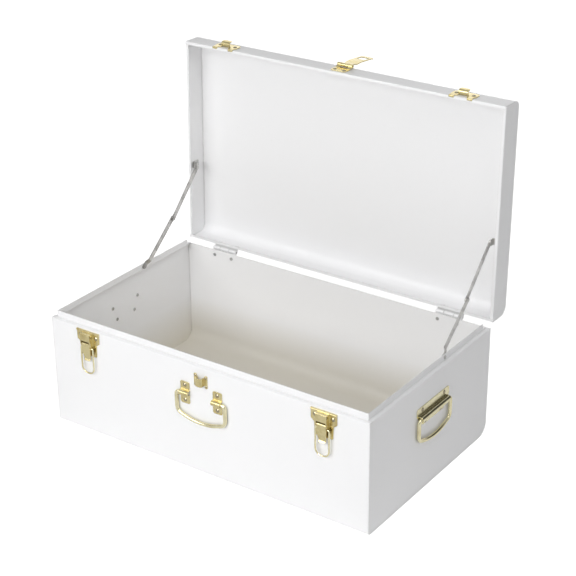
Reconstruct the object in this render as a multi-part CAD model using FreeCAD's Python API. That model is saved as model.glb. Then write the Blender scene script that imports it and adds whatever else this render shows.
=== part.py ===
import FreeCAD, Part
import math
import os

# Trunk: millimetres, X along the front, Y to the back, Z up, lid open
length = 560.0
depth = 330.0
body_height = 176.0
lid_height = 39.0
open_angle = 91.3

# Sheet steel of the body and the lid
sheet = 1.0
lid_gap = 1.5
fold_bend = 1.5
front_bend = 5.0
back_bend = 20.0
lid_front_bend = 11.0
lid_back_bend = 14.0
rim_inset = 6.5
lip_height = 10.0
lip_stop = 12.0
lid_flange = 5.0
rim_band = 12.0

# Fits and cuts
clearance = 0.3
pin_clearance = 0.05
overrun = 4.0
shortest_edge = 0.01

# Stamped brass plates and their rivets
plate = 1.2
plate_bend = 1.2
plate_corner = 1.5
shank = 1.6
head = 3.2
dome = 1.4
tail = 2.6
tail_height = 1.0
small_rivet_share = 0.62

# Hinges at the back; the same distance from the ends carries the latches
lock_inset = 72.0
hinge_width = 45.0
hinge_reach = 5.3
knuckle = 3.2
knuckle_gap = 0.7
hinge_pin = 1.5
leaf = 1.4
leaf_height = 16.0
leaf_joggle = 6.0
hinge_rivet_pitch = 33.0
hinge_rivet_drop = 10.0
knuckle_shares = (-0.5, -0.2, 0.2, 0.5)

# Draw latches: plate, raised housing, lever and wire loop
latch_drop = 3.0
latch_top_width = 42.0
latch_top_height = 20.5
latch_wing_slope = 4.0
latch_stem_width = 31.5
latch_foot_width = 29.0
latch_height = 40.0
latch_bead = 1.5
latch_rivet_pitch = 29.0
latch_rivet_drop = 9.0
house_width = 18.0
house_reach = 9.0
house_drop = 5.0
house_front_height = 11.8
ear_height = 21.1
house_round_share = 0.8
lever_pin = 1.5
lever_pin_reach = 5.5
lever_pin_cap = 2.4
lever_pin_cap_height = 0.5
lever_barrel = 2.9
lever = 1.4
lever_width = 17.0
lever_tip_width = 9.0
lever_length = 27.3
lever_lift = 115.0
lever_offset = 2.2
lever_dip = 3.4
lever_lip = 2.2
lever_bend = 3.0
lever_knee_bend = 6.0
lever_tip_share = 0.98
lug_height = 8.0
lug_drop = 5.6
lug_inset = 0.3
lug_corner = 2.4
lug_round_share = 0.9
loop_wire = 1.3
loop_width = 22.3
loop_length = 42.5
loop_corner = 10.0
loop_bend_share = 1.6

# Catch plates on the lid
catch_width = 40.0
catch_height = 23.0
catch_start = 4.0
catch_corner = 6.0
catch_rivet_pitch = 28.0
catch_rivet_rise = 13.5
hook_width = 15.5
hook_bend = 4.0
hook_floor = 7.7
hook_lip = 16.7
hook_corner = 4.0
tab_width = 8.0
tab_inset = 10.5
tab_reach = 2.0

# Hasp strap on the lid and its staple on the body
hasp_width = 26.0
hasp_start = 3.0
hasp_axis_rise = 25.0
hasp_axis_reach = 4.3
hasp_barrel = 3.0
hasp_pin = 1.4
hasp_joggle = 6.0
hasp_corner = 4.0
hasp_rivet_pitch = 16.0
hasp_rivet_rise = 9.0
hasp_knuckle_width = 12.0
hasp_back_angle = 184.0
strap = 1.4
strap_width = 21.0
strap_neck = 8.0
strap_shoulder = 15.0
strap_length = 69.0
strap_tip = 12.0
strap_tip_lift = 3.4
strap_tip_corner = 5.0
strap_step = 17.0
strap_step_end = 27.0
strap_bend = 4.0
slot_clearance = 1.0
staple_drop = 22.0
staple_width = 23.5
staple_height = 20.0
staple_loop_width = 12.0
staple_loop_height = 13.0
staple_reach = 8.0
staple_bend = 3.0
staple_rivet_pitch = 18.4
staple_rivet_span = 14.0

# Wire handles
bail_wire = 2.8
bail_width = 86.0
bail_leg = 31.5
bail_bow = 15.0
bail_corner = 10.0
bail_bow_bend = 95.0
bail_end = 22.0
bail_bend_share = 1.7
front_handle_height = 127.0
bracket_pitch = 57.5
bracket_width = 16.0
bracket_height = 35.0
bracket_corner = 2.5
bracket_rivet_span = 24.0
side_handle_height = 121.0
side_plate_width = 88.0
side_plate_foot_width = 56.0
side_plate_rise = 17.0
side_plate_drop = 13.0
side_plate_shoulder = 5.0
side_plate_corner = 4.0
saddle_width = 77.0
side_rivet_top_pitch = 60.0
side_rivet_top_rise = 12.5
side_rivet_foot_pitch = 42.0
side_rivet_foot_drop = 9.3

# Folding lid stays
stay_back_share = 0.3727
stay_arm = 1.5
stay_arm_width = 8.0
stay_round_share = 0.98
stay_bend = 3.0
stay_offset_start = 7.0
stay_offset_end = 13.0
stay_pivot = 1.6
stay_head = 3.0
stay_head_height = 1.0
stay_tail_height = 0.6
stay_rest_angle = 3.0
stay_bracket = 1.2
stay_bracket_width = 10.0
stay_bracket_web = 9.0
stay_bracket_height = 24.0
stay_bracket_round_share = 0.75
stay_rivet_rises = (14.0, 20.0)

# Derived places
half_length = length / 2
half_depth = depth / 2
lock_offset = half_length - lock_inset
lid_floor = body_height + lid_gap
lid_top = lid_floor + lid_height
hinge_y = half_depth + hinge_reach
hinge_z = lid_floor
lip_inside = half_length - rim_inset - sheet
latch_top = body_height - latch_drop
house_top = body_height - house_drop
ear_round = house_reach - lever_pin_reach
lever_axis = house_top - ear_height + ear_round
loop_axis = lever_axis - lug_drop
loop_reach = lever_pin_reach - lug_inset
hasp_axis = lid_floor + hasp_axis_rise
staple_middle = body_height - staple_drop
strap_stand = plate + dome * small_rivet_share + clearance + strap / 2
bail_reach = bail_wire + clearance
saddle_height = 2 * bail_reach + plate
rivet_hole = shank + pin_clearance
stay_y = half_depth - stay_back_share * depth
stay_z = body_height + lip_height / 2
stay_outer = lip_inside - clearance
stay_tab = stay_outer - stay_arm - 3 * clearance - stay_head_height - stay_tail_height
stay_inner = stay_tab - stay_bracket - clearance
stay_joggle = stay_inner + clearance + stay_arm
stay_radius = math.hypot(hinge_y - stay_y, hinge_z - stay_z)
stay_half_span = stay_radius * math.sin(math.radians(open_angle) / 2)
stay_length = stay_half_span / math.cos(math.radians(stay_rest_angle))
stay_tilt = math.degrees(math.atan2(hinge_z - stay_z, hinge_y - stay_y))
stay_line = 90 - open_angle / 2 + stay_tilt
stay_lower_angle = stay_line - stay_rest_angle
stay_upper_angle = 180 + stay_line + stay_rest_angle

RIGHT = FreeCAD.Vector(1, 0, 0)
BACK = FreeCAD.Vector(0, 1, 0)
UP = FreeCAD.Vector(0, 0, 1)
OUT = BACK * -1


def at(x, y, z):
    return FreeCAD.Vector(x, y, z)


def moved(shape, x, y, z):
    copy = shape.copy()
    copy.translate(at(x, y, z))
    return copy


def turned(shape, centre, axis, angle):
    copy = shape.copy()
    copy.rotate(centre, axis, angle)
    return copy


def rounded_edges(points, radii, closed):
    """Straight edges through 3-D points, with an arc of the given radius at each corner."""
    count = len(points)
    starts, ends, arcs = [], [], []
    for i, (corner, radius) in enumerate(zip(points, radii)):
        is_end = not closed and i in (0, count - 1)
        if radius <= 0 or is_end:
            starts.append(corner)
            ends.append(corner)
            arcs.append(None)
            continue
        before = (points[i - 1] - corner).normalize()
        after = (points[(i + 1) % count] - corner).normalize()
        half = before.getAngle(after) / 2
        middle = (before + after).normalize()
        starts.append(corner + before * (radius / math.tan(half)))
        ends.append(corner + after * (radius / math.tan(half)))
        arcs.append(corner + middle * (radius / math.sin(half) - radius))
    edges = []
    for i in range(count):
        if arcs[i] is not None:
            edges.append(Part.Arc(starts[i], arcs[i], ends[i]).toShape())
        follower = (i + 1) % count
        is_gap = ends[i].distanceToPoint(starts[follower]) > shortest_edge
        if is_gap and (closed or follower):
            edges.append(Part.makeLine(ends[i], starts[follower]))
    return edges


def outline(points, radii, origin, across, up):
    """A flat face with rounded corners, in the plane of two directions."""
    corners = [origin + across * a + up * b for a, b in points]
    return Part.Face(Part.Wire(rounded_edges(corners, radii, True)))


def sheet_face(path, bends, thick, origin, across, up):
    """The section of a bent sheet: its middle line thickened to both sides, with concentric bends."""
    flat = [FreeCAD.Vector(a, b, 0) for a, b in path]
    left, right, left_radii, right_radii = [], [], [], []
    for i, point in enumerate(flat):
        into = flat[max(i, 1)] - flat[max(i, 1) - 1]
        out = flat[min(i + 1, len(flat) - 1)] - flat[min(i + 1, len(flat) - 1) - 1]
        into_side = UP.cross(into.normalize())
        out_side = UP.cross(out.normalize())
        side = (into_side + out_side).normalize()
        step = side * (thick / 2 / side.dot(into_side))
        turn = UP.dot(into.cross(out))
        bend = bends[i - 1] if 0 < i < len(flat) - 1 else 0
        grow = math.copysign(thick / 2, turn) if bend else 0
        left.append(point + step)
        right.append(point - step)
        left_radii.append(bend - grow)
        right_radii.append(bend + grow)
    ring = left + right[::-1]
    radii = left_radii + right_radii[::-1]
    return outline([(p.x, p.y) for p in ring], radii, origin, across, up)


def bent(path, bends, thick, width, middle=0.0):
    """A bent sheet seen from the side as (outward, height), as wide as given along X."""
    origin = at(middle - width / 2, 0, 0)
    return sheet_face(path, bends, thick, origin, OUT, UP).extrude(RIGHT * width)


def bent_side(path, bends, thick, start, end):
    """A bent sheet seen from the front as (across, height), running along Y."""
    return sheet_face(path, bends, thick, at(0, start, 0), RIGHT, UP).extrude(BACK * (end - start))


def flat_plate(points, radii, thick):
    """A plate lying on the wall plane, drawn as (across, height)."""
    return outline(points, radii, at(0, 0, 0), RIGHT, UP).extrude(OUT * thick)


def box(x0, x1, y0, y1, z0, z1):
    return Part.makeBox(x1 - x0, y1 - y0, z1 - z0, at(x0, y0, z0))


def bar(radius, x0, x1, y, z):
    """A round bar along X."""
    return Part.makeCylinder(radius, x1 - x0, at(x0, y, z), RIGHT)


def rod(points, bend_radii, radius):
    """A bent wire of round section along a path."""
    path = Part.Wire(rounded_edges(points, bend_radii, False))
    start = Part.Wire(Part.makeCircle(radius, points[0], points[1] - points[0]))
    return path.makePipeShell([start], True, False)


def rivet(place, facing, grip, size=1.0):
    """A domed rivet: its head on the place, its shank as long as the grip, its clinched tail behind."""
    top = dome * size
    wide = head * size
    ball = (wide * wide + top * top) / (2 * top)
    lean = math.asin(wide / ball) / 2
    shoulder = at(ball * math.sin(lean), 0, top - ball + ball * math.cos(lean))
    back = -grip - tail_height * size
    corners = [at(wide, 0, 0), at(shank * size, 0, 0), at(shank * size, 0, -grip)]
    corners += [at(tail * size, 0, -grip), at(tail * size, 0, back), at(0, 0, back), at(0, 0, top)]
    edges = [Part.makeLine(a, b) for a, b in zip(corners, corners[1:])]
    edges.append(Part.Arc(corners[-1], shoulder, corners[0]).toShape())
    solid = Part.Face(Part.Wire(edges)).revolve(at(0, 0, 0), UP, 360)
    solid.Placement = FreeCAD.Placement(place, FreeCAD.Rotation(UP, facing))
    return solid


def flush_rivet(place, facing, grip):
    """A rivet set level with the sheet: its shank ends on the place, its clinched tail is behind."""
    behind = place - facing * grip
    stem = Part.makeCylinder(shank, grip, place, facing * -1)
    return stem.fuse(Part.makeCylinder(tail, tail_height, behind, facing * -1)).removeSplitter()


def drilled(shape, spots, axis, radius):
    """Holes through a thin piece at the given places, along one axis."""
    holes = [Part.makeCylinder(radius, 2 * overrun, spot - axis * overrun, axis) for spot in spots]
    return shape.cut(holes) if holes else shape


def on_front(shape, x=0.0):
    return moved(shape, x, -half_depth, 0)


def on_end(shape, side):
    """Carries a piece from the wall plane at Y zero to the right (1) or left (-1) end."""
    return moved(turned(shape, at(0, 0, 0), UP, 90 * side), side * half_length, 0, 0)


def opened(shape):
    """Swings a piece that was built on the closed lid to the open position."""
    return turned(shape, at(0, hinge_y, hinge_z), RIGHT, -open_angle)


def mirrored(shape):
    return shape.mirror(at(0, 0, 0), RIGHT)


# Places of the rivets
def latch_spots():
    z = latch_top - latch_rivet_drop
    pairs = [(middle, side) for middle in (-lock_offset, lock_offset) for side in (-1, 1)]
    return [at(middle + side * latch_rivet_pitch / 2, -half_depth, z) for middle, side in pairs]


def staple_spots():
    corners = [(a, b) for a in (-1, 1) for b in (-1, 1)]
    wide, tall = staple_rivet_pitch / 2, staple_rivet_span / 2
    return [at(a * wide, -half_depth, staple_middle + b * tall) for a, b in corners]


def bracket_spots():
    corners = [(a, b) for a in (-1, 1) for b in (-1, 1)]
    wide, tall = bracket_pitch / 2, bracket_rivet_span / 2
    return [at(a * wide, -half_depth, front_handle_height + b * tall) for a, b in corners]


def side_spots(side):
    top = side_handle_height + side_rivet_top_rise
    foot = side_handle_height - side_rivet_foot_drop
    rows = [(side_rivet_top_pitch, top), (side_rivet_foot_pitch, foot)]
    return [at(side * half_length, hand * pitch / 2, z) for pitch, z in rows for hand in (-1, 1)]


def hinge_spots(z):
    pairs = [(middle, side) for middle in (-lock_offset, lock_offset) for side in (-1, 1)]
    return [at(middle + side * hinge_rivet_pitch / 2, half_depth, z) for middle, side in pairs]


def catch_spots():
    z = lid_floor + catch_rivet_rise
    pairs = [(middle, side) for middle in (-lock_offset, lock_offset) for side in (-1, 1)]
    return [at(middle + side * catch_rivet_pitch / 2, -half_depth, z) for middle, side in pairs]


def hasp_spots():
    z = lid_floor + hasp_rivet_rise
    return [at(side * hasp_rivet_pitch / 2, -half_depth, z) for side in (-1, 1)]


def stay_bracket_spots(side):
    return [at(side * half_length, stay_y, lid_floor + rise) for rise in stay_rivet_rises]


def stay_lip_spot(side):
    return at(side * lip_inside, stay_y, stay_z)


# Body
def body_wrap():
    """One sheet bent into the front lip, shoulder, front, bottom and back."""
    mid = sheet / 2
    lip = -half_depth + rim_inset + mid
    path = [(lip, body_height + lip_height), (lip, body_height - mid), (-half_depth + mid, body_height - mid)]
    path += [(-half_depth + mid, mid), (half_depth - mid, mid), (half_depth - mid, body_height)]
    bends = [fold_bend, fold_bend, front_bend - mid, back_bend - mid]
    span = half_length - sheet
    section = sheet_face(path, bends, sheet, at(-span, 0, 0), BACK, UP)
    shell = section.extrude(RIGHT * (2 * span))
    for side in (-1, 1):
        edge = side * (half_length - rim_inset)
        far = side * half_length
        low, high = min(edge, far), max(edge, far)
        shell = shell.cut(box(low, high, -half_depth, half_depth, body_height, body_height + 2 * lip_height))
    front = latch_spots() + bracket_spots()
    shell = drilled(shell, front + hinge_spots(lid_floor - hinge_rivet_drop), BACK, rivet_hole)
    return drilled(shell, staple_spots(), BACK, shank * small_rivet_share + pin_clearance)


def body_end(side):
    """One end panel with its inward shoulder and upright lip; side is 1 for the right end."""
    corners = [(-half_depth, 0), (half_depth, 0), (half_depth, body_height), (-half_depth, body_height)]
    radii = [front_bend, back_bend, 0, 0]
    wall = outline(corners, radii, at(half_length - sheet, 0, 0), BACK, UP).extrude(RIGHT * sheet)
    start = -half_depth + rim_inset + sheet
    end = half_depth - sheet
    mid = sheet / 2
    wall = wall.cut(box(0, length, start, end, body_height - rim_band, body_height + rim_band))
    lip = half_length - rim_inset - mid
    path = [(half_length - mid, body_height - rim_band), (half_length - mid, body_height - mid)]
    path += [(lip, body_height - mid), (lip, body_height + lip_height)]
    rim = bent_side(path, [fold_bend, fold_bend], sheet, start, end)
    stop = half_depth - lip_stop
    rim = rim.cut(box(0, lip + sheet, stop, half_depth, body_height, body_height + 2 * lip_height))
    panel = drilled(wall.fuse(rim), side_spots(1), RIGHT, rivet_hole)
    panel = drilled(panel, [stay_lip_spot(1)], RIGHT, stay_pivot + pin_clearance).removeSplitter()
    return panel if side > 0 else mirrored(panel)


# Lid, built closed and then opened
def lid_wrap():
    """One sheet bent into the lid's front, top and back, with a flange along both rims."""
    mid = sheet / 2
    low, high = lid_floor + mid, lid_top - mid
    front, back = -half_depth + mid, half_depth - mid
    path = [(front + lid_flange - mid, low), (front, low), (front, high)]
    path += [(back, high), (back, low), (back - lid_flange + mid, low)]
    bends = [fold_bend, lid_front_bend - mid, lid_back_bend - mid, fold_bend]
    span = half_length - sheet
    section = sheet_face(path, bends, sheet, at(-span, 0, 0), BACK, UP)
    shell = section.extrude(RIGHT * (2 * span))
    spots = catch_spots() + hasp_spots() + hinge_spots(lid_floor + hinge_rivet_drop)
    return opened(drilled(shell, spots, BACK, rivet_hole))


def lid_end(side):
    """One end panel of the lid with its rim flange; side is 1 for the right end."""
    corners = [(-half_depth, lid_floor), (half_depth, lid_floor)]
    corners += [(half_depth, lid_top), (-half_depth, lid_top)]
    radii = [0, 0, lid_back_bend, lid_front_bend]
    wall = outline(corners, radii, at(half_length - sheet, 0, 0), BACK, UP).extrude(RIGHT * sheet)
    mid = sheet / 2
    reach = half_depth - lid_flange
    wall = wall.cut(box(0, length, -reach, reach, lid_floor - rim_band, lid_floor + rim_band))
    path = [(half_length - mid, lid_floor + rim_band), (half_length - mid, lid_floor + mid)]
    path += [(half_length - lid_flange, lid_floor + mid)]
    rim = bent_side(path, [fold_bend], sheet, -reach, reach)
    panel = drilled(wall.fuse(rim), stay_bracket_spots(1), RIGHT, rivet_hole).removeSplitter()
    return opened(panel if side > 0 else mirrored(panel))


# Hinges
def knuckle_zones(owner):
    """The stretches of a hinge along X that belong to the body leaf (0) or the lid leaf (1)."""
    zones = []
    for i, (a, b) in enumerate(zip(knuckle_shares, knuckle_shares[1:])):
        if i % 2 == owner:
            zones.append((a * hinge_width, b * hinge_width))
    return zones


def hinge_leaf(owner, middle):
    """A joggled leaf on the back wall with its knuckles rolled round the pin."""
    way = -1 if owner == 0 else 1
    spots_z = lid_floor + way * hinge_rivet_drop
    path = [(-leaf / 2, hinge_z + way * leaf_height), (-leaf / 2, hinge_z + way * leaf_joggle)]
    path += [(-hinge_reach, hinge_z)]
    body = moved(bent(path, [leaf], leaf, hinge_width), 0, half_depth, 0)
    for a, b in knuckle_zones(1 - owner):
        body = body.cut(bar(knuckle + clearance, a - clearance / 2, b + clearance / 2, hinge_y, hinge_z))
    for a, b in knuckle_zones(owner):
        inset = 0 if owner == 0 else knuckle_gap
        body = body.fuse(bar(knuckle, a + inset, b - inset, hinge_y, hinge_z))
    reach = hinge_width / 2 + overrun
    body = body.cut(bar(hinge_pin + pin_clearance, -reach, reach, hinge_y, hinge_z)).removeSplitter()
    body = moved(body, middle, 0, 0)
    body = drilled(body, hinge_spots(spots_z), BACK, rivet_hole)
    return body if owner == 0 else opened(body)


def hinge_pins():
    half = hinge_width / 2
    spots = (-lock_offset, lock_offset)
    return Part.makeCompound([bar(hinge_pin, x - half, x + half, hinge_y, hinge_z) for x in spots])


# Draw latches
def latch_plate(middle):
    """A T-shaped plate with a beaded top edge and a raised housing with two ears for the lever pin."""
    top, stem, toe = latch_top_width / 2, latch_stem_width / 2, latch_foot_width / 2
    waist, foot = latch_top - latch_top_height, latch_top - latch_height
    wing = waist + latch_wing_slope
    corners = [(-top, latch_top), (-top, wing), (-stem, waist), (-toe, foot)]
    corners += [(toe, foot), (stem, waist), (top, wing), (top, latch_top)]
    body = flat_plate(corners, [0] + [plate_corner] * 6 + [0], plate)
    body = body.fuse(bar(latch_bead, -top, top, -latch_bead, latch_top - latch_bead))
    wide = house_width / 2
    low = house_top - ear_height
    room = wide - plate
    window_top = house_top - house_front_height
    shell = box(-wide, wide, -house_reach, 0, low, house_top)
    shell = shell.cut(box(-room, room, plate - house_reach, 0, low - overrun, house_top - plate))
    shell = shell.cut(box(-room, room, -house_reach - overrun, 0, low - overrun, window_top))
    edges = [e for e in shell.Edges if e.BoundBox.YMax < plate - house_reach and e.BoundBox.ZMin > window_top]
    shell = shell.makeFillet(plate * house_round_share, edges)
    profile = [(0, low), (house_reach, low), (house_reach, house_top), (0, house_top)]
    side = outline(profile, [0, ear_round, 0, 0], at(-wide, 0, 0), OUT, UP)
    body = body.fuse(shell.common(side.extrude(RIGHT * house_width)))
    hole = lever_pin + pin_clearance
    body = body.cut(bar(hole, -wide - overrun, wide + overrun, -lever_pin_reach, lever_axis)).removeSplitter()
    body = on_front(body, middle)
    return drilled(body, latch_spots(), BACK, rivet_hole)


def latch_pins():
    """Lever pins with a cap at both ends outside the ears."""
    wide = house_width / 2
    cap = wide + lever_pin_cap_height
    pins = []
    for middle in (-lock_offset, lock_offset):
        pin = bar(lever_pin, -wide, wide, -lever_pin_reach, lever_axis)
        for x in (-cap, wide):
            pin = pin.fuse(bar(lever_pin_cap, x, x + lever_pin_cap_height, -lever_pin_reach, lever_axis))
        pins.append(on_front(pin.removeSplitter(), middle))
    return Part.makeCompound(pins)


def latch_lever(middle):
    """A tongue with a barrel on the pin, two lugs for the loop and a curled tip."""
    neck = house_width - 2 * plate - 2 * clearance
    face = lever_pin_reach + lever_offset
    tip = lever_axis - lever_length
    dip = tip + lever_dip
    path = [(face, lever_axis), (face, dip + lever_length / 2), (face - lever_dip, dip)]
    path += [(face - lever_dip + lever_lip, tip)]
    tongue = bent(path, [lever_knee_bend, lever_bend], lever, lever_width)
    wide, slim = lever_width / 2, lever_tip_width / 2
    lift = math.radians(lever_lift)
    past_front = (ear_round - (lever_offset + lever / 2) * math.cos(lift)) / math.sin(lift)
    shoulder = lever_axis - max(past_front, ear_round) - clearance
    corners = [(-neck / 2, lever_axis + overrun), (-neck / 2, shoulder), (-wide, shoulder)]
    corners += [(-wide, loop_axis - lug_height / 2), (-slim, tip - lever), (slim, tip - lever)]
    corners += [(wide, loop_axis - lug_height / 2), (wide, shoulder), (neck / 2, shoulder)]
    corners += [(neck / 2, lever_axis + overrun)]
    corner = slim * lever_tip_share
    radii = [0, 0, plate_corner, plate_corner, corner, corner, plate_corner, plate_corner, 0, 0]
    tongue = tongue.common(flat_plate(corners, radii, house_reach + overrun))
    body = tongue.fuse(bar(lever_barrel, -neck / 2, neck / 2, -lever_pin_reach, lever_axis))
    for side in (-1, 1):
        body = body.fuse(latch_lug(side * (neck / 2 - lever / 2)))
    far = lever_width
    body = body.cut(bar(lever_pin + pin_clearance, -far, far, -lever_pin_reach, lever_axis))
    body = body.cut(bar(loop_wire + pin_clearance, -far, far, -loop_reach, loop_axis))
    return on_front(body.removeSplitter(), middle)


def latch_lug(x):
    """A cheek behind the tongue that takes one end of the loop."""
    face = lever_pin_reach + lever_offset
    low, high = loop_axis - lug_height / 2, loop_axis + lug_height / 2
    inner = loop_reach - lug_corner
    corners = [(face, high), (face, low), (inner, loop_axis - lug_corner), (inner, loop_axis + lug_corner)]
    radii = [0, 0, lug_corner * lug_round_share, lug_corner * lug_round_share]
    return outline(corners, radii, at(x - lever / 2, 0, 0), OUT, UP).extrude(RIGHT * lever)


def latch_loop(middle):
    """A wire loop hanging from the lever, its ends turned into the lugs."""
    half = loop_width / 2
    neck = house_width / 2 - plate - clearance - lever
    low = loop_axis - loop_length
    right = [(neck, loop_axis), (half, loop_axis), (half, low)]
    path = [(-a, b) for a, b in right] + right[::-1]
    points = [at(a, -loop_reach, b) for a, b in path]
    bend = loop_wire * loop_bend_share
    return on_front(rod(points, [0, bend, loop_corner, loop_corner, bend, 0], loop_wire), middle)


# Catch plates
def catch_hook(top, floor):
    """A tongue that leaves the plate, turns up through half a round and ends in a lip with round corners."""
    near = plate / 2
    far = near + 2 * hook_bend
    end = lid_floor + hook_lip
    path = [(near, top), (near, floor), (far, floor), (far, end)]
    tongue = bent(path, [hook_bend, hook_bend], plate, hook_width)
    edges = [e for e in tongue.Edges if e.BoundBox.ZMax < end + shortest_edge]
    tips = [e for e in edges if max(e.BoundBox.XLength, e.BoundBox.ZLength) < shortest_edge]
    return tongue.makeFillet(hook_corner, tips)


def catch(middle):
    """A plate with rounded wings, a hook turned out of its middle and two tabs under the lid rim."""
    wide = catch_width / 2
    low, high = lid_floor + catch_start, lid_floor + catch_height
    corners = [(-wide, low), (wide, low), (wide, high), (-wide, high)]
    body = flat_plate(corners, [catch_corner] * 4, plate)
    half, mid = hook_width / 2, plate / 2
    floor = lid_floor + hook_floor
    body = body.cut(box(-half, half, -overrun, overrun, low - overrun, floor + hook_bend))
    body = body.fuse(catch_hook(high, floor))
    under = [(mid, low + catch_corner), (mid, lid_floor - mid), (-tab_reach, lid_floor - mid)]
    for side in (-1, 1):
        body = body.fuse(bent(under, [mid + clearance], plate, tab_width, side * (tab_inset + tab_width / 2)))
    body = on_front(body.removeSplitter(), middle)
    return opened(drilled(body, catch_spots(), BACK, rivet_hole))


# Hasp and staple
def hasp_plate():
    """A plate on the lid front, its two outer knuckles rolled round the pin."""
    mid = plate / 2
    path = [(mid, lid_floor + hasp_start), (mid, hasp_axis - hasp_joggle), (hasp_axis_reach, hasp_axis)]
    body = bent(path, [plate_bend], plate, hasp_width)
    gap = hasp_knuckle_width / 2 + clearance
    half = hasp_width / 2
    room = hasp_barrel + 2 * clearance
    body = body.cut(bar(room, -gap, gap, -hasp_axis_reach, hasp_axis))
    foot = hasp_axis - room - hasp_joggle
    body = body.cut(box(-gap, gap, -hasp_axis_reach - room, -plate, foot, hasp_axis))
    for a, b in ((-half, -gap), (gap, half)):
        body = body.fuse(bar(hasp_barrel, a, b, -hasp_axis_reach, hasp_axis))
    hole = hasp_pin + pin_clearance
    body = body.cut(bar(hole, -hasp_width, hasp_width, -hasp_axis_reach, hasp_axis)).removeSplitter()
    low, high = lid_floor + hasp_start, hasp_axis + hasp_barrel + overrun
    frame = [(-half, low), (half, low), (half, high), (-half, high)]
    trim = flat_plate(frame, [hasp_corner, hasp_corner, 0, 0], hasp_axis_reach + hasp_barrel + overrun)
    return opened(drilled(on_front(body.common(trim)), hasp_spots(), BACK, rivet_hole))


def hasp_pivot():
    half = hasp_width / 2 - plate
    return opened(on_front(bar(hasp_pin, -half, half, -hasp_axis_reach, hasp_axis)))


def hasp_strap():
    """A stepped strap with a slot for the staple and a lifted tip, thrown back over the lid."""
    low = hasp_axis - strap_length
    path = [(hasp_axis_reach, hasp_axis), (hasp_axis_reach, hasp_axis - strap_step)]
    path += [(strap_stand, hasp_axis - strap_step_end), (strap_stand, low + strap_tip / 2)]
    path += [(strap_stand + strap_tip_lift, low)]
    blade = bent(path, [strap_bend, strap_bend, strap_bend], strap, strap_width)
    wide, neck, tip = strap_width / 2, hasp_knuckle_width / 2, strap_width / 2 - strap_tip_corner
    top, root, broad = hasp_axis + overrun, hasp_axis - strap_neck, hasp_axis - strap_shoulder
    right = [(neck, top), (neck, root), (wide, broad), (wide, low + strap_tip), (tip, low - strap)]
    corners = [(-a, b) for a, b in right] + right[::-1]
    bend = strap_tip_corner
    radii = [0, plate_corner, bend, bend, bend, bend, bend, bend, plate_corner, 0]
    blade = blade.common(flat_plate(corners, radii, strap_length))
    hole_wide = staple_loop_width / 2 + slot_clearance
    hole_tall = staple_loop_height / 2 + slot_clearance
    slot = [(-hole_wide, staple_middle - hole_tall), (hole_wide, staple_middle - hole_tall)]
    slot += [(hole_wide, staple_middle + hole_tall), (-hole_wide, staple_middle + hole_tall)]
    blade = blade.cut(flat_plate(slot, [plate_corner] * 4, strap_length))
    body = blade.fuse(bar(hasp_barrel, -neck, neck, -hasp_axis_reach, hasp_axis))
    body = body.cut(bar(hasp_pin + pin_clearance, -wide, wide, -hasp_axis_reach, hasp_axis)).removeSplitter()
    thrown = turned(body, at(0, -hasp_axis_reach, hasp_axis), RIGHT, -hasp_back_angle)
    return opened(on_front(thrown))


def staple():
    """Two upright wings joined by a raised bridge for a padlock."""
    half, mid = staple_width / 2, plate / 2
    leg = staple_loop_width / 2 - mid
    path = [(-half, mid), (-leg, mid), (-leg, staple_reach - mid)]
    path += [(leg, staple_reach - mid), (leg, mid), (half, mid)]
    low = staple_middle - staple_loop_height / 2
    bends = [plate_bend, staple_bend, staple_bend, plate_bend]
    bridge = sheet_face(path, bends, plate, at(0, 0, low), RIGHT, OUT)
    body = bridge.extrude(UP * staple_loop_height)
    inner = staple_loop_width / 2 + plate_bend
    tall = staple_height / 2
    for side in (-1, 1):
        wing = [(side * inner, staple_middle - tall), (side * half, staple_middle - tall)]
        wing += [(side * half, staple_middle + tall), (side * inner, staple_middle + tall)]
        body = body.fuse(flat_plate(wing, [plate_corner] * 4, plate))
    body = on_front(body.removeSplitter())
    return drilled(body, staple_spots(), BACK, shank * small_rivet_share + pin_clearance)


# Wire handles
def bail(height):
    """A wire handle hanging on the wall plane, its ends turned in towards each other."""
    half = bail_width / 2
    low = height - bail_leg
    right = [(bail_end, height), (half, height), (half, low)]
    path = [(-a, b) for a, b in right] + [(0, low - bail_bow)] + right[::-1]
    bend = bail_wire * bail_bend_share
    radii = [0, bend, bail_corner, bail_bow_bend, bail_corner, bend, 0]
    return rod([at(a, 0, b) for a, b in path], radii, bail_wire)


def saddle_path(height, rise, drop, seat):
    """Side view of a plate with a raised saddle round a wire that lies on the seat."""
    mid = plate / 2
    arch = bail_wire + clearance + mid
    crown = seat + bail_wire + clearance + arch
    path = [(mid, height + rise), (mid, height + arch), (crown, height + arch)]
    return path + [(crown, height - arch), (mid, height - arch), (mid, height - drop)]


def front_bracket(middle):
    """A narrow plate with a saddle pressed out of it for one end of the front handle."""
    half = bracket_height / 2
    path = saddle_path(front_handle_height, half, half, 0)
    arch = bail_wire + clearance + plate / 2
    body = bent(path, [plate_bend, arch, arch, plate_bend], plate, bracket_width)
    low, high = front_handle_height - half, front_handle_height + half
    wide = bracket_width / 2
    frame = [(-wide, low), (wide, low), (wide, high), (-wide, high)]
    body = body.common(flat_plate(frame, [bracket_corner] * 4, saddle_height + overrun))
    return drilled(on_front(body, middle), bracket_spots(), BACK, rivet_hole)


def front_bail():
    return on_front(moved(bail(front_handle_height), 0, -bail_reach, 0))


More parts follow.
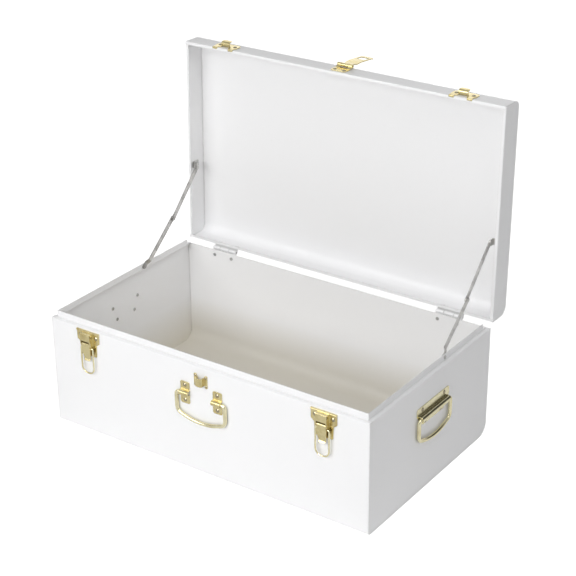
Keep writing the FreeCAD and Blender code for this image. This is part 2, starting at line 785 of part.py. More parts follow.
def side_plate(side):
    """A wide plate with a full-width saddle strip for an end handle; side is 1 for the right end."""
    top, foot = side_plate_width / 2, side_plate_foot_width / 2
    high, low = side_handle_height + side_plate_rise, side_handle_height - side_plate_drop
    waist = side_handle_height + side_plate_shoulder
    corners = [(-top, high), (-top, waist), (-foot, low), (foot, low), (top, waist), (top, high)]
    body = flat_plate(corners, [side_plate_corner] * 6, plate)
    arch = bail_wire + clearance + plate / 2
    hem = arch + 2 * plate_bend
    path = saddle_path(side_handle_height, hem, hem, plate)
    body = body.fuse(bent(path, [plate_bend, arch, arch, plate_bend], plate, saddle_width))
    body = on_end(body.removeSplitter(), side)
    return drilled(body, side_spots(side), RIGHT, rivet_hole)


def side_bail(side):
    return on_end(moved(bail(side_handle_height), 0, -bail_reach - plate, 0), side)


# Lid stays, built on the right side and mirrored for the left
def stay_outline(reach, start, end):
    """A prism with round ends that trims an arm, lying along Y from the pivot."""
    half = stay_arm_width / 2
    corners = [(-half, -half), (reach + half, -half), (reach + half, half), (-half, half)]
    face = outline(corners, [half * stay_round_share] * 4, at(start, 0, 0), BACK, UP)
    return face.extrude(RIGHT * (end - start))


def stay_arm_at(body, y, z, angle):
    return moved(turned(body, at(0, 0, 0), RIGHT, angle), 0, y, z)


def stay_lower_arm(side):
    """The arm on the body lip, offset inward beyond its pivot."""
    half = stay_arm_width / 2
    outer, inner = stay_outer - stay_arm / 2, stay_joggle - stay_arm / 2
    path = [(outer, -half), (outer, stay_offset_start), (inner, stay_offset_end), (inner, stay_length + half)]
    section = sheet_face(path, [stay_bend, stay_bend], stay_arm, at(0, 0, -half), RIGHT, BACK)
    body = section.extrude(UP * stay_arm_width)
    body = body.common(stay_outline(stay_length, stay_inner, stay_outer + overrun))
    body = drilled(body, [at(outer, 0, 0)], RIGHT, stay_pivot + pin_clearance)
    body = drilled(body, [at(inner, stay_length, 0)], RIGHT, stay_pivot + pin_clearance)
    body = stay_arm_at(body, stay_y, stay_z, stay_lower_angle)
    return body if side > 0 else mirrored(body)


def stay_lid_pivot():
    """The upper pivot in the open position, as (Y, Z)."""
    turn = math.radians(open_angle)
    y, z = stay_y - hinge_y, stay_z - hinge_z
    across = y * math.cos(turn) + z * math.sin(turn)
    up = z * math.cos(turn) - y * math.sin(turn)
    return hinge_y + across, hinge_z + up


def stay_upper_arm(side):
    """The straight arm between the lid bracket and the middle joint."""
    body = stay_outline(stay_length, stay_inner - stay_arm, stay_inner)
    ends = [at(stay_inner, 0, 0), at(stay_inner, stay_length, 0)]
    body = drilled(body, ends, RIGHT, stay_pivot + pin_clearance)
    y, z = stay_lid_pivot()
    body = stay_arm_at(body, y, z, stay_upper_angle)
    return body if side > 0 else mirrored(body)


def stay_stud(x0, x1, y, z, cap0, cap1):
    """A pivot rivet along X between two faces, with a flat cap at each end that has a height."""
    stud = bar(stay_pivot, x0, x1, y, z)
    if cap0:
        stud = stud.fuse(bar(stay_head, x0 - cap0, x0, y, z))
    if cap1:
        stud = stud.fuse(bar(stay_head, x1, x1 + cap1, y, z))
    return stud.removeSplitter()


def both_sides(solid):
    return Part.makeCompound([mirrored(solid), solid])


def stay_lip_rivets():
    inner, outer = stay_outer - stay_arm - clearance, lip_inside + sheet
    return both_sides(stay_stud(inner, outer, stay_y, stay_z, stay_head_height, stay_tail_height))


def stay_lid_rivets():
    y, z = stay_lid_pivot()
    inner = stay_inner - stay_arm - clearance
    return both_sides(stay_stud(inner, stay_tab, y, z, stay_head_height, stay_tail_height))


def stay_middle_rivet(side, upper):
    """Half of the middle joint: the rivet of the upper arm or the one of the lower arm."""
    y = stay_y + stay_length * math.cos(math.radians(stay_lower_angle))
    z = stay_z + stay_length * math.sin(math.radians(stay_lower_angle))
    if upper:
        stud = stay_stud(stay_inner - stay_arm, stay_inner, y, z, stay_head_height, 0)
    else:
        stud = stay_stud(stay_joggle - stay_arm, stay_joggle, y, z, 0, stay_head_height)
    return stud if side > 0 else mirrored(stud)


def stay_lid_bracket(side):
    """A stepped bracket from the lid's end wall to the plane of the upper arm."""
    mid = stay_bracket / 2
    wall = half_length - sheet - mid
    tab = stay_tab - mid
    web = lid_floor + stay_bracket_web + mid
    foot = stay_z - stay_arm_width / 2
    path = [(tab, foot), (tab, web), (wall, web), (wall, lid_floor + stay_bracket_height)]
    half = stay_bracket_width / 2
    body = bent_side(path, [stay_bracket, stay_bracket], stay_bracket, stay_y - half, stay_y + half)
    top = lid_floor + stay_bracket_height
    frame = [(stay_y - half, foot), (stay_y + half, foot), (stay_y + half, top), (stay_y - half, top)]
    low_round = half * stay_bracket_round_share
    radii = [low_round, low_round, stay_bracket, stay_bracket]
    body = body.common(outline(frame, radii, at(0, 0, 0), BACK, UP).extrude(RIGHT * half_length))
    body = drilled(body, stay_bracket_spots(1), RIGHT, rivet_hole)
    body = drilled(body, [at(tab, stay_y, stay_z)], RIGHT, stay_pivot + pin_clearance)
    return opened(body if side > 0 else mirrored(body))


# Rivet groups
def front_rivets(spots, size=1.0):
    grip = plate + sheet
    return Part.makeCompound([rivet(spot + OUT * plate, OUT, grip, size) for spot in spots])


def hinge_rivets(z):
    grip = leaf + sheet
    return Part.makeCompound([rivet(spot + BACK * leaf, BACK, grip) for spot in hinge_spots(z)])


def side_rivets():
    group = []
    for side in (-1, 1):
        facing = RIGHT * side
        group += [rivet(spot + facing * plate, facing, plate + sheet) for spot in side_spots(side)]
    return Part.makeCompound(group)


def stay_bracket_rivets():
    group = []
    for side in (-1, 1):
        facing = RIGHT * side
        group += [flush_rivet(spot, facing, sheet + stay_bracket) for spot in stay_bracket_spots(side)]
    return opened(Part.makeCompound(group))


def nodes():
    parts = {
        "body_wrap": body_wrap(),
        "lid_wrap": lid_wrap(),
        "hinge_pins": hinge_pins(),
        "hinge_body_rivets": hinge_rivets(lid_floor - hinge_rivet_drop),
        "hinge_lid_rivets": opened(hinge_rivets(lid_floor + hinge_rivet_drop)),
        "latch_pins": latch_pins(),
        "latch_rivets": front_rivets(latch_spots()),
        "catch_rivets": opened(front_rivets(catch_spots())),
        "hasp_plate": hasp_plate(),
        "hasp_pin": hasp_pivot(),
        "hasp_strap": hasp_strap(),
        "hasp_rivets": opened(front_rivets(hasp_spots())),
        "staple": staple(),
        "staple_rivets": front_rivets(staple_spots(), small_rivet_share),
        "front_bail": front_bail(),
        "front_bracket_rivets": front_rivets(bracket_spots()),
        "side_plate_rivets": side_rivets(),
        "stay_lip_rivets": stay_lip_rivets(),
        "stay_lid_rivets": stay_lid_rivets(),
        "stay_bracket_rivets": stay_bracket_rivets(),
    }
    for hand, side in (("left", -1), ("right", 1)):
        middle = side * lock_offset
        parts[hand + "_end"] = body_end(side)
        parts[hand + "_lid_end"] = lid_end(side)
        parts[hand + "_hinge_body_leaf"] = hinge_leaf(0, middle)
        parts[hand + "_hinge_lid_leaf"] = hinge_leaf(1, middle)
        parts[hand + "_latch_plate"] = latch_plate(middle)
        parts[hand + "_latch_lever"] = latch_lever(middle)
        parts[hand + "_latch_loop"] = latch_loop(middle)
        parts[hand + "_catch"] = catch(middle)
        parts[hand + "_front_bracket"] = front_bracket(side * bracket_pitch / 2)
        parts[hand + "_side_plate"] = side_plate(side)
        parts[hand + "_side_bail"] = side_bail(side)
        parts[hand + "_stay_lower_arm"] = stay_lower_arm(side)
        parts[hand + "_stay_upper_arm"] = stay_upper_arm(side)
        parts[hand + "_stay_lower_rivet"] = stay_middle_rivet(side, False)
        parts[hand + "_stay_upper_rivet"] = stay_middle_rivet(side, True)
        parts[hand + "_stay_bracket"] = stay_lid_bracket(side)
    return parts


os.makedirs("parts", exist_ok=True)
for name, shape in nodes().items():
    shape.exportStep("parts/" + name + ".step")
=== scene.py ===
import math

import bpy
from mathutils import Matrix, Vector


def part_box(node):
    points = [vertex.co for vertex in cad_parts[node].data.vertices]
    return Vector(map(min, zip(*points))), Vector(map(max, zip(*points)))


# Camera, fitted to the corners of the trunk in the photograph; lens and sensor in millimetres
CAMERA_PLACE = (1.228, -1.698, 1.241)
CAMERA_YAW = math.radians(35.09)
CAMERA_PITCH = math.radians(25.71)
CAMERA_ROLL = math.radians(-0.58)
CAMERA_LENS = 99.6
CAMERA_SENSOR = 36.0

# Colours of the coat
COAT_WHITE = (0.93, 0.93, 0.937, 1)
COAT_SHADE = (0.84, 0.84, 0.83, 1)
# partly wear and partly painted shade along the edges
COAT_EDGE_WEAR_AND_SHADE = (0.72, 0.715, 0.71, 1)
# painted shade for the tight inner corners
COAT_CORNER_SHADE = (0.76, 0.76, 0.755, 1)
# painted shade, warm and dull, low inside the body
COAT_INSIDE_SHADE = (0.83, 0.795, 0.71, 1)

# Colours of the metals; plate and wire have a bright tone and a deeper one for the smudges
PLATE_BRASS = ((0.80, 0.70, 0.39, 1), (0.60, 0.49, 0.22, 1))
WIRE_BRASS = ((0.93, 0.87, 0.60, 1), (0.78, 0.69, 0.42, 1))
BRASS_EDGE = (0.92, 0.85, 0.58, 1)
RIVET_BRASS = (0.44, 0.39, 0.27, 1)
ZINC_LIGHT = (0.68, 0.67, 0.65, 1)
ZINC_DEEP = (0.34, 0.33, 0.32, 1)
TAIL_GREY = (0.52, 0.52, 0.52, 1)

# Roughness, from the smoothest spots to the dullest
COAT_ROUGHNESS = (0.34, 0.46)
PLATE_ROUGHNESS = (0.16, 0.30)
WIRE_ROUGHNESS = (0.14, 0.24)
PIN_ROUGHNESS = (0.10, 0.20)
RIVET_ROUGHNESS = (0.12, 0.26)
ARM_ROUGHNESS = (0.28, 0.44)
PIVOT_ROUGHNESS = (0.22, 0.36)
FLOOR_ROUGHNESS = (0.85, 0.95)
COAT_IOR = 1.48

# Relief: strength, and depth in metres
WAVES_RELIEF = (0.06, 0.002)
PEEL_RELIEF = (0.10, 0.0002)
BRASS_RELIEF = (0.12, 0.0002)
RIVET_RELIEF = (0.10, 0.0002)
ZINC_RELIEF = (0.15, 0.0002)

# Grain of the coat on large sheets and on small pieces, and size of the hand marks, all counted per metre
SHEET_GRAIN = 700.0
SMALL_GRAIN = 1100.0
COAT_MARKS = 11.0
BRASS_MARKS = 45.0
ZINC_MARKS = 60.0
FLOOR_MARKS = 3.0

# Fine lines, counted per metre along X, Y and Z: long where the count is low, even where all are alike
LINES_ACROSS = (60.0, 1500.0, 1500.0)
LINES_FRONT_TO_BACK = (1500.0, 60.0, 1500.0)
WIRE_LINES = (300.0, 300.0, 300.0)
STUD_LINES = (400.0, 400.0, 400.0)
ARM_LINES = (900.0, 120.0, 120.0)
PIVOT_LINES = (500.0, 500.0, 500.0)

# Noise behind the marks, and the share of it at which each mark begins and is full
PEEL_NOISE = {"detail": 2.0, "roughness": 0.45}
WAVES_NOISE = {"scale": 9.0, "detail": 2.0, "roughness": 0.5}
SMUDGE_NOISE = {"detail": 5.0, "roughness": 0.62}
SPECK_NOISE = {"scale": 520.0, "detail": 1.0, "roughness": 0.5}
LINE_NOISE = {"scale": 1.0, "detail": 3.0, "roughness": 0.6}
SMUDGE_SHARES = (0.42, 0.72)
SPECK_SHARES = (0.74, 0.80)

# Softened edges and painted shade in tight corners: sizes in metres, samples, and the shares at which they
# begin and are full
COAT_ROUND = 0.0006
BRASS_ROUND = 0.0004
CORNER_SHADE_REACH = 0.004
ROUND_SAMPLES = 6
CORNER_SHADE_SAMPLES = 8
ROUND_SHARES = (0.995, 0.90)
CORNER_SHADE_SHARES = (0.85, 0.35)

# Half the thickness of the sheet steel, and the height at which the painted shade inside the body fades out,
# in metres
SHEET_MIDDLE = 0.0005
INSIDE_SHADE_FADE = 0.08

# Floor: side in metres, colour and glow; SEEN is for the camera and MIRRORED for the shiny pieces
FLOOR_SIDE = 40.0
FLOOR_WHITE = (0.94, 0.94, 0.94, 1)
FLOOR_MIRRORED = (0.0, 0.0, 0.0, 1)
FLOOR_GLOW = 0.01
FLOOR_GLOW_SEEN = 0.8
FLOOR_GLOW_MIRRORED = 0.72

# Light of the sky, which is bright on the right, and its colour as the camera sees it
RIGHT = (1, 0, 0)
SKY_RIGHT = 0.735
SKY_REST = 0.012
SKY_SEEN = (1.0, 1.0, 1.0, 1)

# The room as the brass mirrors it: even, with a window at the back left and a dark corner at the back right
ROOM_EVEN = (0.5, 0.5, 0.5, 1)
ROOM_DARK = (0.05, 0.05, 0.05, 1)
ROOM_WINDOW = (1.2, 1.2, 1.2, 1)
DARK_CORNER = (0.43, 0.74, 0.52)
WINDOW_CORNER = (-0.52, 0.74, 0.43)
ROOM_EDGE_SHARES = (0.80, 0.95)

# Lamps: place, aim, width and height in metres, and power in watts
LAMPS = {
    "Key": ((-1.1, -3.2, 1.9), (0, 0, 0.2), 2.4, 2.0, 47.0),
    "Into the trunk": ((0.1, -2.2, 1.15), (0, 0.16, 0.12), 0.8, 0.6, 16.0),
    "Over the trunk": ((0.5, -0.5, 1.9), (-0.1, 0.05, 0.1), 1.2, 1.2, 7.5),
    "Behind the trunk": ((-0.4, 3.2, 0.45), (0, 0.2, 0.25), 2.0, 1.0, 17.0),
    "Left of the trunk": ((-3.0, 0.7, 0.45), (-0.28, 0.1, 0.2), 1.6, 0.9, 11.0),
}


# Single shader nodes
def give(tree, socket, value):
    """Links a socket to another one, or sets it to a plain value."""
    if isinstance(value, bpy.types.NodeSocket):
        tree.links.new(value, socket)
    else:
        socket.default_value = value


def maths_into(tree, operation, first, second):
    """Works out one value from two."""
    node = tree.nodes.new("ShaderNodeMath")
    node.operation = operation
    give(tree, node.inputs[0], first)
    give(tree, node.inputs[1], second)
    return node.outputs["Value"]


def vectors_into(tree, operation, first, second):
    """Works on two vectors and gives a vector, or a value where the operation is a dot product."""
    node = tree.nodes.new("ShaderNodeVectorMath")
    node.operation = operation
    give(tree, node.inputs[0], first)
    give(tree, node.inputs[1], second)
    return node.outputs["Value" if operation == "DOT_PRODUCT" else "Vector"]


def mix_into(tree, mask, first, second, kind="RGBA"):
    """Goes from one colour or value to another by a mask."""
    node = tree.nodes.new("ShaderNodeMix")
    node.data_type = kind
    give(tree, node.inputs["Factor"], mask)
    give(tree, node.inputs["A"], first)
    give(tree, node.inputs["B"], second)
    return node.outputs["Result"]


def ramp_into(tree, value, given=(0.0, 1.0), wanted=(0.0, 1.0)):
    """Stretches a value from one range to another and holds it at the ends."""
    node = tree.nodes.new("ShaderNodeMapRange")
    node.clamp = True
    for label, number in zip(("From Min", "From Max", "To Min", "To Max"), (*given, *wanted)):
        node.inputs[label].default_value = number
    give(tree, node.inputs["Value"], value)
    return node.outputs["Result"]


def noise_into(tree, vector, scale, detail, roughness):
    """Soft noise between 0 and 1."""
    node = tree.nodes.new("ShaderNodeTexNoise")
    give(tree, node.inputs["Vector"], vector)
    give(tree, node.inputs["Scale"], scale)
    give(tree, node.inputs["Detail"], detail)
    give(tree, node.inputs["Roughness"], roughness)
    return node.outputs["Fac"]


# Shader node groups
def new_group(name, inputs, outputs):
    """An empty group with its sockets, each given as a label and a kind."""
    group = bpy.data.node_groups.new(name, "ShaderNodeTree")
    for label, kind in inputs:
        group.interface.new_socket(label, in_out="INPUT", socket_type=kind)
    for label, kind in outputs:
        group.interface.new_socket(label, in_out="OUTPUT", socket_type=kind)
    start = group.nodes.new("NodeGroupInput")
    end = group.nodes.new("NodeGroupOutput")
    return group, start.outputs, end.inputs


def orange_peel_group():
    """The fine ripple of a sprayed and baked coat, with broad faint waves in the sheet below it."""
    inputs = [("Vector", "NodeSocketVector"), ("Grain", "NodeSocketFloat")]
    outputs = [("Height", "NodeSocketFloat"), ("Waves", "NodeSocketFloat")]
    group, given, made = new_group("Orange peel", inputs, outputs)
    give(group, made["Height"], noise_into(group, given["Vector"], given["Grain"], **PEEL_NOISE))
    give(group, made["Waves"], noise_into(group, given["Vector"], **WAVES_NOISE))
    return group


def handling_group():
    """Soft smudges and a few fine specks that hands and dust leave on a finish."""
    inputs = [("Vector", "NodeSocketVector"), ("Size", "NodeSocketFloat")]
    outputs = [("Smudge", "NodeSocketFloat"), ("Specks", "NodeSocketFloat")]
    group, given, made = new_group("Handling marks", inputs, outputs)
    broad = noise_into(group, given["Vector"], given["Size"], **SMUDGE_NOISE)
    fine = noise_into(group, given["Vector"], **SPECK_NOISE)
    give(group, made["Smudge"], ramp_into(group, broad, SMUDGE_SHARES))
    give(group, made["Specks"], ramp_into(group, fine, SPECK_SHARES))
    return group


def brushed_group():
    """Fine parallel lines from polishing or rolling."""
    inputs = [("Vector", "NodeSocketVector"), ("Stretch", "NodeSocketVector")]
    group, given, made = new_group("Brushed lines", inputs, [("Lines", "NodeSocketFloat")])
    stretched = vectors_into(group, "MULTIPLY", given["Vector"], given["Stretch"])
    give(group, made["Lines"], noise_into(group, stretched, **LINE_NOISE))
    return group


def softened_edges_group():
    """The small round that forming and coating leave on each edge, and a mask of where it lies."""
    outputs = [("Normal", "NodeSocketVector"), ("Edge", "NodeSocketFloat")]
    group, given, made = new_group("Softened edges", [("Radius", "NodeSocketFloat")], outputs)
    softened = group.nodes.new("ShaderNodeBevel")
    softened.samples = ROUND_SAMPLES
    give(group, softened.inputs["Radius"], given["Radius"])
    flat = group.nodes.new("ShaderNodeNewGeometry")
    likeness = vectors_into(group, "DOT_PRODUCT", softened.outputs["Normal"], flat.outputs["Normal"])
    give(group, made["Normal"], softened.outputs["Normal"])
    give(group, made["Edge"], ramp_into(group, likeness, ROUND_SHARES))
    return group


def corner_shade_group():
    """A mask of the tight inner corners, where the coat gets painted shade."""
    outputs = [("Corner shade", "NodeSocketFloat")]
    group, given, made = new_group("Painted corner shade", [("Reach", "NodeSocketFloat")], outputs)
    opening = group.nodes.new("ShaderNodeAmbientOcclusion")
    opening.samples = CORNER_SHADE_SAMPLES
    give(group, opening.inputs["Distance"], given["Reach"])
    give(group, made["Corner shade"], ramp_into(group, opening.outputs["AO"], CORNER_SHADE_SHARES))
    return group


GROUPS = {"peel": orange_peel_group(), "handling": handling_group(), "brushed": brushed_group(),
          "edges": softened_edges_group(), "corners": corner_shade_group()}


# Materials
class Finish:
    """A material under construction: its tree, its shader and its object coordinates."""

    def __init__(self, name):
        self.material = bpy.data.materials.new(name)
        self.material.use_nodes = True
        self.tree = self.material.node_tree
        self.shader = self.tree.nodes["Principled BSDF"]
        self.place = self.tree.nodes.new("ShaderNodeTexCoord").outputs["Object"]

    def put(self, label, value):
        """Sets or links a socket of the shader itself."""
        give(self.tree, self.shader.inputs[label], value)

    def effect(self, key, **values):
        """Adds one of the groups with these values and gives what it puts out."""
        node = self.tree.nodes.new("ShaderNodeGroup")
        node.node_tree = GROUPS[key]
        if "Vector" in node.inputs:
            give(self.tree, node.inputs["Vector"], self.place)
        for label, value in values.items():
            give(self.tree, node.inputs[label], value)
        return node.outputs

    def mix(self, mask, first, second):
        return mix_into(self.tree, mask, first, second)

    def between(self, mask, limits):
        return ramp_into(self.tree, mask, wanted=limits)

    def along(self, axis):
        """The place along one axis, in metres."""
        split = self.tree.nodes.new("ShaderNodeSeparateXYZ")
        give(self.tree, split.inputs["Vector"], self.place)
        return split.outputs[axis]

    def beyond(self, axis, level, below=False, fold=False):
        """A mask of what lies past a level along one axis; fold takes both signs of the axis alike."""
        value = self.along(axis)
        if fold:
            value = maths_into(self.tree, "ABSOLUTE", value, 0.0)
        return maths_into(self.tree, "LESS_THAN" if below else "GREATER_THAN", value, level)

    def inside(self, middle, fade):
        """A mask for the painted shade inside the body: the faces that look toward a middle point, full at
        the floor and gone at the fade.
        """
        geometry = self.tree.nodes.new("ShaderNodeNewGeometry")
        outward = vectors_into(self.tree, "SUBTRACT", self.place, middle)
        facing = vectors_into(self.tree, "DOT_PRODUCT", outward, geometry.outputs["True Normal"])
        inner = maths_into(self.tree, "LESS_THAN", facing, 0.0)
        lowness = ramp_into(self.tree, self.along("Z"), (fade, 0.0))
        return maths_into(self.tree, "MULTIPLY", inner, lowness)

    def bump(self, height, relief, under=None):
        """Presses a height into the surface, on top of another normal where one is given."""
        strength, depth = relief
        node = self.tree.nodes.new("ShaderNodeBump")
        give(self.tree, node.inputs["Strength"], strength)
        give(self.tree, node.inputs["Distance"], depth)
        give(self.tree, node.inputs["Height"], height)
        if under is not None:
            give(self.tree, node.inputs["Normal"], under)
        return node.outputs["Normal"]


def powder_coat(name, grain, body_middle=None):
    """White baked powder coat on sheet steel; painted shade, warm and dull, darkens the inside of the body
    toward the floor and the tight corners, and the edges are darker for wear and painted shade.
    """
    finish = Finish(name)
    peel = finish.effect("peel", Grain=grain)
    marks = finish.effect("handling", Size=COAT_MARKS)
    edges = finish.effect("edges", Radius=COAT_ROUND)
    corners = finish.effect("corners", Reach=CORNER_SHADE_REACH)
    coat = finish.mix(marks["Specks"], COAT_WHITE, COAT_SHADE)
    # painted shade darkens the coat in the tight corners
    coat = finish.mix(corners["Corner shade"], coat, COAT_CORNER_SHADE)
    if body_middle is not None:
        # painted shade, warm and dull, low on the inner faces of the body
        coat = finish.mix(finish.inside(body_middle, INSIDE_SHADE_FADE), coat, COAT_INSIDE_SHADE)
    # edges darker, partly wear and partly painted shade
    finish.put("Base Color", finish.mix(edges["Edge"], coat, COAT_EDGE_WEAR_AND_SHADE))
    finish.put("Roughness", finish.between(marks["Smudge"], COAT_ROUGHNESS))
    sheet = finish.bump(peel["Waves"], WAVES_RELIEF, edges["Normal"])
    finish.put("Normal", finish.bump(peel["Height"], PEEL_RELIEF, sheet))
    finish.put("IOR", COAT_IOR)
    return finish.material


def brass(name, tones, stretch, roughness):
    """Bright brass plate with fine lines and a slightly deeper tone in the smudges."""
    finish = Finish(name)
    lines = finish.effect("brushed", Stretch=stretch)
    marks = finish.effect("handling", Size=BRASS_MARKS)
    edges = finish.effect("edges", Radius=BRASS_ROUND)
    plating = finish.mix(marks["Smudge"], *tones)
    finish.put("Base Color", finish.mix(edges["Edge"], plating, BRASS_EDGE))
    finish.put("Roughness", finish.between(lines["Lines"], roughness))
    finish.put("Normal", finish.bump(lines["Lines"], BRASS_RELIEF, edges["Normal"]))
    finish.put("Metallic", 1.0)
    return finish.material


def zinc(name, stretch, roughness):
    """Grey zinc plate on steel, with fine lines and darker smudges."""
    finish = Finish(name)
    lines = finish.effect("brushed", Stretch=stretch)
    marks = finish.effect("handling", Size=ZINC_MARKS)
    finish.put("Base Color", finish.mix(marks["Smudge"], ZINC_LIGHT, ZINC_DEEP))
    finish.put("Roughness", finish.between(lines["Lines"], roughness))
    finish.put("Normal", finish.bump(lines["Lines"], ZINC_RELIEF))
    finish.put("Metallic", 1.0)
    return finish.material


def brass_rivets(name, head):
    """Polished brass heads; the clinched tails behind the sheet are bare and grey."""
    finish = Finish(name)
    lines = finish.effect("brushed", Stretch=STUD_LINES)
    finish.put("Base Color", finish.mix(finish.beyond(**head), TAIL_GREY, RIVET_BRASS))
    finish.put("Roughness", finish.between(lines["Lines"], RIVET_ROUGHNESS))
    finish.put("Normal", finish.bump(lines["Lines"], RIVET_RELIEF))
    finish.put("Metallic", 1.0)
    return finish.material


def coated_rivets(name, head):
    """Heads under the white coat; the clinched tails behind the sheet are bare and grey."""
    finish = Finish(name)
    peel = finish.effect("peel", Grain=SMALL_GRAIN)
    coated = finish.beyond(**head)
    finish.put("Base Color", finish.mix(coated, TAIL_GREY, COAT_WHITE))
    finish.put("Metallic", finish.between(coated, (1.0, 0.0)))
    finish.put("Roughness", finish.between(peel["Height"], COAT_ROUGHNESS))
    finish.put("Normal", finish.bump(peel["Height"], PEEL_RELIEF))
    return finish.material


def floor_white():
    """A pale studio floor that glows a little, as on a lit table."""
    finish = Finish("Studio floor")
    marks = finish.effect("handling", Size=FLOOR_MARKS)
    path = finish.tree.nodes.new("ShaderNodeLightPath").outputs
    glow = finish.between(path["Is Camera Ray"], (FLOOR_GLOW, FLOOR_GLOW_SEEN))
    glow = mix_into(finish.tree, path["Is Glossy Ray"], glow, FLOOR_GLOW_MIRRORED, "FLOAT")
    finish.put("Base Color", finish.mix(path["Is Glossy Ray"], FLOOR_WHITE, FLOOR_MIRRORED))
    finish.put("Roughness", finish.between(marks["Smudge"], FLOOR_ROUGHNESS))
    finish.put("Emission Color", FLOOR_WHITE)
    finish.put("Emission Strength", glow)
    return finish.material


# Which piece gets which finish
def paint(nodes, names, material):
    for name in names:
        mesh = nodes[name].data
        mesh.materials.clear()
        mesh.materials.append(material)


def both(*names):
    """The names of pieces that are there once on the left and once on the right."""
    return [hand + "_" + name for hand in ("left", "right") for name in names]


def dress_sheets(nodes):
    """White coat on the body, the lid and the hinges."""
    sheets = ["body_wrap", "lid_wrap"] + both("end", "lid_end")
    hinges = ["hinge_lid_rivets"] + both("hinge_body_leaf", "hinge_lid_leaf")
    low, high = (Vector(corner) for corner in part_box("body_wrap"))
    paint(nodes, sheets, powder_coat("White powder coat", SHEET_GRAIN, (low + high) / 2))
    paint(nodes, hinges, powder_coat("White coat on hinges", SMALL_GRAIN))


def dress_brass(nodes):
    """Brass on the latches, the hasp and the handles."""
    plates = ["hasp_plate", "hasp_strap", "staple"]
    plates += both("latch_plate", "latch_lever", "catch", "front_bracket")
    wires = ["front_bail"] + both("latch_loop", "side_bail")
    plate = brass("Brass plate, lines across", PLATE_BRASS, LINES_ACROSS, PLATE_ROUGHNESS)
    # painted light: the brass plates on the ends get the lighter wire tones, to look more brightly lit than
    # the same plates on the front
    end_plate_painted_lighter = brass("Brass plate, lines front to back", WIRE_BRASS, LINES_FRONT_TO_BACK, PLATE_ROUGHNESS)
    wire = brass("Drawn brass wire", WIRE_BRASS, WIRE_LINES, WIRE_ROUGHNESS)
    pin = brass("Polished brass pins", PLATE_BRASS, STUD_LINES, PIN_ROUGHNESS)
    paint(nodes, plates, plate)
    paint(nodes, both("side_plate"), end_plate_painted_lighter)
    paint(nodes, wires, wire)
    paint(nodes, ["latch_pins", "hasp_pin"], pin)


def dress_rivets(nodes):
    """Brass heads, and white ones where the head lies on the coat; heads begin at the sheet's middle."""
    front_head = {"axis": "Y", "level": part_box("body_wrap")[0][1] + SHEET_MIDDLE, "below": True}
    back_head = {"axis": "Y", "level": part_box("body_wrap")[1][1] - SHEET_MIDDLE}
    end_head = {"axis": "X", "level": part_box("right_end")[1][0] - SHEET_MIDDLE, "fold": True}
    lid_head = {"axis": "Z", "level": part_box("lid_wrap")[1][2] - SHEET_MIDDLE}
    front_rivets = ["latch_rivets", "staple_rivets", "front_bracket_rivets"]
    paint(nodes, front_rivets, brass_rivets("Brass rivets in the front", front_head))
    paint(nodes, ["side_plate_rivets"], brass_rivets("Brass rivets in the ends", end_head))
    paint(nodes, ["catch_rivets", "hasp_rivets"], brass_rivets("Brass rivets in the lid", lid_head))
    paint(nodes, ["hinge_body_rivets"], coated_rivets("Coated rivets in the back", back_head))
    paint(nodes, ["stay_bracket_rivets"], coated_rivets("Coated rivets in the lid ends", end_head))


def dress_stays(nodes):
    """Zinc on the stays with their pivots, and on the hinge pins."""
    arms = both("stay_lower_arm", "stay_upper_arm", "stay_bracket")
    pivots = ["stay_lip_rivets", "stay_lid_rivets", "hinge_pins"]
    pivots += both("stay_lower_rivet", "stay_upper_rivet")
    paint(nodes, arms, zinc("Zinc plated arms", ARM_LINES, ARM_ROUGHNESS))
    paint(nodes, pivots, zinc("Zinc plated rivets", PIVOT_LINES, PIVOT_ROUGHNESS))


# Stage
def studio_floor():
    bpy.ops.object.select_all(action="DESELECT")
    bpy.ops.mesh.primitive_plane_add(size=FLOOR_SIDE, location=(0, 0, 0))
    floor = bpy.context.object
    floor.name = "studio_floor"
    floor.data.materials.append(floor_white())


def mirrored_room(tree, way):
    """The room that the brass mirrors."""
    colour = ROOM_EVEN
    for corner, tone in ((DARK_CORNER, ROOM_DARK), (WINDOW_CORNER, ROOM_WINDOW)):
        nearness = vectors_into(tree, "DOT_PRODUCT", way, corner)
        colour = mix_into(tree, ramp_into(tree, nearness, ROOM_EDGE_SHARES), colour, tone)
    return colour


def soft_sky(tree, way):
    """The light that falls on the matt finishes, strongest from the right."""
    facing = maths_into(tree, "MAXIMUM", vectors_into(tree, "DOT_PRODUCT", way, RIGHT), 0.0)
    return maths_into(tree, "ADD", maths_into(tree, "MULTIPLY", facing, SKY_RIGHT), SKY_REST)


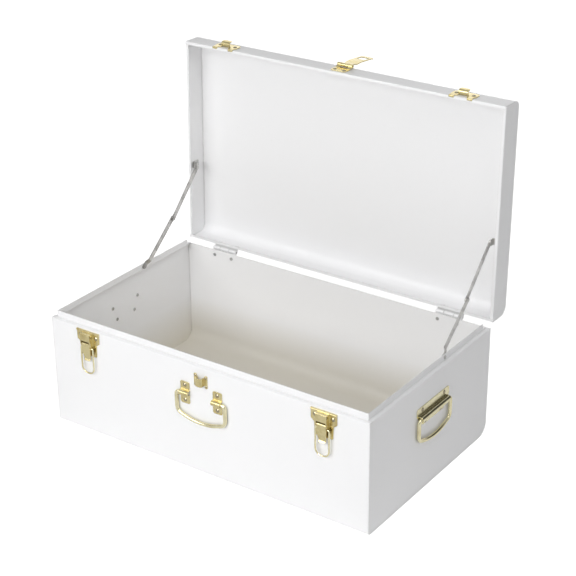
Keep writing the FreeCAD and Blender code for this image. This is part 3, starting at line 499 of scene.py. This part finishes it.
def studio_sky():
    """Soft light for the matt finishes, a room for the shiny ones and plain white for the camera."""
    world = bpy.data.worlds.new("Studio sky")
    bpy.context.scene.world = world
    world.use_nodes = True
    tree = world.node_tree
    way = tree.nodes.new("ShaderNodeTexCoord").outputs["Generated"]
    path = tree.nodes.new("ShaderNodeLightPath").outputs
    colour = mix_into(tree, path["Is Glossy Ray"], soft_sky(tree, way), mirrored_room(tree, way))
    colour = mix_into(tree, path["Is Camera Ray"], colour, SKY_SEEN)
    give(tree, tree.nodes["Background"].inputs["Color"], colour)


def soft_box(name, place, aim, width, height, power):
    """A rectangular lamp that looks at a point."""
    light = bpy.data.lights.new(name, "AREA")
    light.shape = "RECTANGLE"
    light.size = width
    light.size_y = height
    light.energy = power
    lamp = bpy.data.objects.new(name, light)
    bpy.context.scene.collection.objects.link(lamp)
    lamp.location = place
    lamp.rotation_euler = (Vector(aim) - Vector(place)).to_track_quat("-Z", "Y").to_euler()


def studio_light():
    studio_sky()
    for name, lamp in LAMPS.items():
        soft_box(name, *lamp)


def photo_camera():
    """The camera at the photograph's place and angle."""
    data = bpy.data.cameras.new("Photo camera")
    data.sensor_width = CAMERA_SENSOR
    data.lens = CAMERA_LENS
    camera = bpy.data.objects.new("Photo camera", data)
    bpy.context.scene.collection.objects.link(camera)
    level = math.cos(CAMERA_PITCH)
    ahead = Vector((-math.sin(CAMERA_YAW) * level, math.cos(CAMERA_YAW) * level, -math.sin(CAMERA_PITCH)))
    flat_right = ahead.cross(Vector((0, 0, 1))).normalized()
    right = Matrix.Rotation(CAMERA_ROLL, 3, -ahead) @ flat_right
    up = right.cross(ahead)
    basis = Matrix((right, up, -ahead)).transposed()
    camera.matrix_world = Matrix.Translation(CAMERA_PLACE) @ basis.to_4x4()
    bpy.context.scene.camera = camera


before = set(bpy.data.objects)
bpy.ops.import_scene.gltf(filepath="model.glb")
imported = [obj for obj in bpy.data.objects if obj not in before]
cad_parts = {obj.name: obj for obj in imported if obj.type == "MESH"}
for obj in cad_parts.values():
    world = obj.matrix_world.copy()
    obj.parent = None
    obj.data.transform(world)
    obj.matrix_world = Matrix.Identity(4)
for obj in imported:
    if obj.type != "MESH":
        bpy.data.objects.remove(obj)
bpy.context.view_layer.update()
bpy.context.scene.view_settings.view_transform = "Standard"
dress_sheets(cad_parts)
dress_brass(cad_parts)
dress_rivets(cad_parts)
dress_stays(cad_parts)
studio_floor()
studio_light()
photo_camera()
